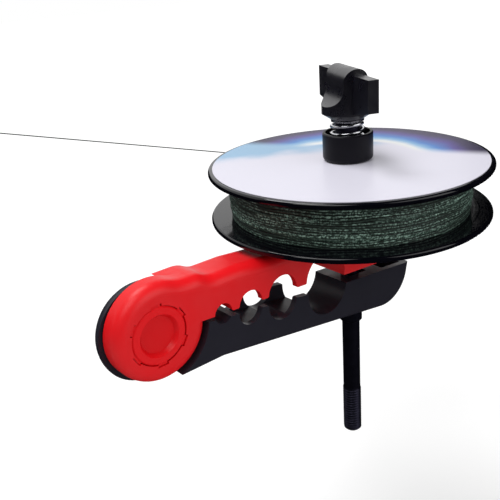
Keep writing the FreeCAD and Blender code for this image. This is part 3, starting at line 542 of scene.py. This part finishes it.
# Brake spring: 1.3 mm music wire, open coiled, that the knob presses on the cup to slow the spool.
# Polished spring wire is nearly white where it takes the light and black where it doesn't.
spring_wire = metal("polished_spring_wire", "#CDCED2", 0.16, 1.0)
coil_foot, coil_head, coil_r, wire_r, coil_pitch = 0.0399, 0.0526, 0.00625, 0.00065, 0.003
coil_rise = coil_head - coil_foot - 2 * wire_r
coil_steps, wire_sides = 160, 12
coil_corners, coil_faces = [], []
for step in range(coil_steps + 1):
    height = coil_foot + wire_r + coil_rise * step / coil_steps
    angle = 2 * math.pi * coil_rise / coil_pitch * step / coil_steps
    out = Vector((math.cos(angle), math.sin(angle), 0))
    for turn in range(wire_sides):
        lean = 2 * math.pi * turn / wire_sides
        spot = Vector((*stud_axis, height)) + out * (coil_r + wire_r * math.cos(lean))
        coil_corners.append((spot.x, spot.y, spot.z + wire_r * math.sin(lean)))
for step in range(coil_steps):
    for turn in range(wire_sides):
        here = step * wire_sides + turn
        beside = step * wire_sides + (turn + 1) % wire_sides
        coil_faces.append((here, here + wire_sides, beside + wire_sides, beside))
coil_faces.append(tuple(range(wire_sides)))
coil_faces.append(tuple(reversed(range(coil_steps * wire_sides, (coil_steps + 1) * wire_sides))))
coil_mesh = bpy.data.meshes.new("brake_spring_coil")
coil_mesh.from_pydata(coil_corners, [], coil_faces)
for face in coil_mesh.polygons[:-2]:
    face.use_smooth = True
coil_mesh.materials.append(spring_wire)
coil = bpy.data.objects.new("brake_spring_coil", coil_mesh)
bpy.context.scene.collection.objects.link(coil)
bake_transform(coil)
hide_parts("brake_spring")


# Spring ring: a thin stamped steel ring between the spring and the turning knob.
dress("spring_ring", metal("bright_stamped_steel", "#C4C5C9", 0.22))


# Wing knob: black ABS moulded round its bushing, a domed ridge scooped for the thumb
# on both sides and two flat wings. It has the finest grain of all the pieces.
knob_abs = moulded("black_abs_knob", "#100F18", "#0B0A12", 0.3, gloss=0.8, grain=0.3, depth=0.006)
dress("wing_knob", knob_abs, 0.0007)


# Knob bushing: blackened steel with an M8 thread inside. Its hexagon is caught in the knob
# and its round neck stands in the spring.
dress("knob_bushing", black_steel, 0.0001)


# Floor: a plain white sheet well below the winder, which keeps its shadow. A faint glow that
# grows away from the middle keeps the sheet white out to its edges.
def shown_to(tree):
    """1 for the rays that show the background: camera, glossy and transmission rays."""
    path = add(tree, "ShaderNodeLightPath")
    direct = add(tree, "ShaderNodeMath",
                 {0: path.outputs["Is Camera Ray"], 1: path.outputs["Is Glossy Ray"]},
                 operation="MAXIMUM")
    every = add(tree, "ShaderNodeMath",
                {0: direct.outputs[0], 1: path.outputs["Is Transmission Ray"]},
                operation="MAXIMUM")
    return every.outputs[0]


floor_z, floor_reach = -0.14, 4
sheet = bpy.data.meshes.new("studio_floor")
sheet.from_pydata([(-floor_reach, -floor_reach, floor_z), (floor_reach, -floor_reach, floor_z),
                   (floor_reach, floor_reach, floor_z), (-floor_reach, floor_reach, floor_z)],
                  [], [(0, 1, 2, 3)])
floor = bpy.data.objects.new("studio_floor", sheet)
bpy.context.scene.collection.objects.link(floor)
floor_paint, tree = finish("white_studio_sheet")
paint = add(tree, "ShaderNodeBsdfDiffuse", {"Color": (0.75, 0.75, 0.75, 1)})
from_middle = add(tree, "ShaderNodeVectorMath", {0: in_mm(tree, (0.04, 0, floor_z))},
                  operation="LENGTH")
fill = add(tree, "ShaderNodeMapRange",
           {"Value": from_middle.outputs["Value"], "From Min": 0, "From Max": 1400,
            "To Min": 0.3, "To Max": 0.9})
glow = add(tree, "ShaderNodeEmission", {"Color": (1, 1, 1, 1), "Strength": fill.outputs[0]})
lit = add(tree, "ShaderNodeAddShader", {0: paint.outputs[0], 1: glow.outputs[0]})
mixed = add(tree, "ShaderNodeMixShader",
            {0: shown_to(tree), 1: paint.outputs[0], 2: lit.outputs[0]})
add(tree, "ShaderNodeOutputMaterial", {"Surface": mixed.outputs[0]})
sheet.materials.append(floor_paint)


# Black felt: a tent over the winder with one opening at the back, as a studio hangs it to keep
# black plastic deep. Only the gloss sees it, so it takes no light from the winder.
cloth = bpy.data.meshes.new("black_felt")
near_y, far_y, left_x, right_x, low_z, high_z = -1.1, 0.7, -1.2, 1.2, -0.139, 1.1
mouth_x, mouth_z = 0.32, 0.22
cloth.from_pydata([(left_x, far_y, low_z), (right_x, far_y, low_z),
                   (right_x, near_y, low_z), (left_x, near_y, low_z),
                   (right_x, far_y, high_z), (right_x, near_y, high_z),
                   (left_x, near_y, high_z), (left_x, far_y, high_z),
                   (mouth_x, far_y, low_z), (mouth_x, far_y, mouth_z), (left_x, far_y, mouth_z)],
                  [], [(0, 3, 2, 1), (3, 6, 5, 2), (1, 2, 5, 4),
                       (0, 7, 6, 3), (4, 5, 6, 7), (0, 8, 9, 10)])
felt = bpy.data.objects.new("black_felt", cloth)
bpy.context.scene.collection.objects.link(felt)
felt_look, tree = finish("black_felt")
pile = add(tree, "ShaderNodeTexNoise", {"Vector": in_mm(tree), "Scale": 1 / 3, "Detail": 2})
nap = add(tree, "ShaderNodeMix",
          {"Factor": pile.outputs["Fac"], "A": ink("#0C0C10"), "B": ink("#16161B")},
          data_type="RGBA")
paint = add(tree, "ShaderNodeBsdfDiffuse", {"Color": nap.outputs["Result"]})
add(tree, "ShaderNodeOutputMaterial", {"Surface": paint.outputs[0]})
cloth.materials.append(felt_look)
felt.visible_camera = felt.visible_diffuse = felt.visible_shadow = felt.visible_transmission = False


# Lamps: three soft boxes, the largest in front, and a white room that gives less light than
# its look to the camera says.
for name, where, size, power in (("overhead", (-0.05, 0.35, 0.9), 0.4, 5.0),
                                 ("left", (-0.5, -0.15, 0.85), 0.6, 4.0),
                                 ("front", (0.3, -0.95, 0.45), 0.9, 4.5)):
    soft_box = bpy.data.lights.new(name, "AREA")
    soft_box.shape = "SQUARE"
    soft_box.size = size
    soft_box.energy = power
    lamp = bpy.data.objects.new(name, soft_box)
    bpy.context.scene.collection.objects.link(lamp)
    lamp.location = where
    lamp.rotation_euler = (Vector((0.03, 0, 0)) - Vector(where)).to_track_quat("-Z", "Y").to_euler()
room = bpy.data.worlds.new("studio")
bpy.context.scene.world = room
room.use_nodes = True
room.node_tree.nodes.clear()
tree = room.node_tree
soft = add(tree, "ShaderNodeBackground", {"Color": (1, 1, 1, 1), "Strength": 0.32})
white = add(tree, "ShaderNodeBackground", {"Color": (1, 1, 1, 1), "Strength": 1.0})
mixed = add(tree, "ShaderNodeMixShader",
            {0: shown_to(tree), 1: soft.outputs[0], 2: white.outputs[0]})
add(tree, "ShaderNodeOutputWorld", {"Surface": mixed.outputs[0]})
bpy.context.scene.view_settings.view_transform = "Standard"
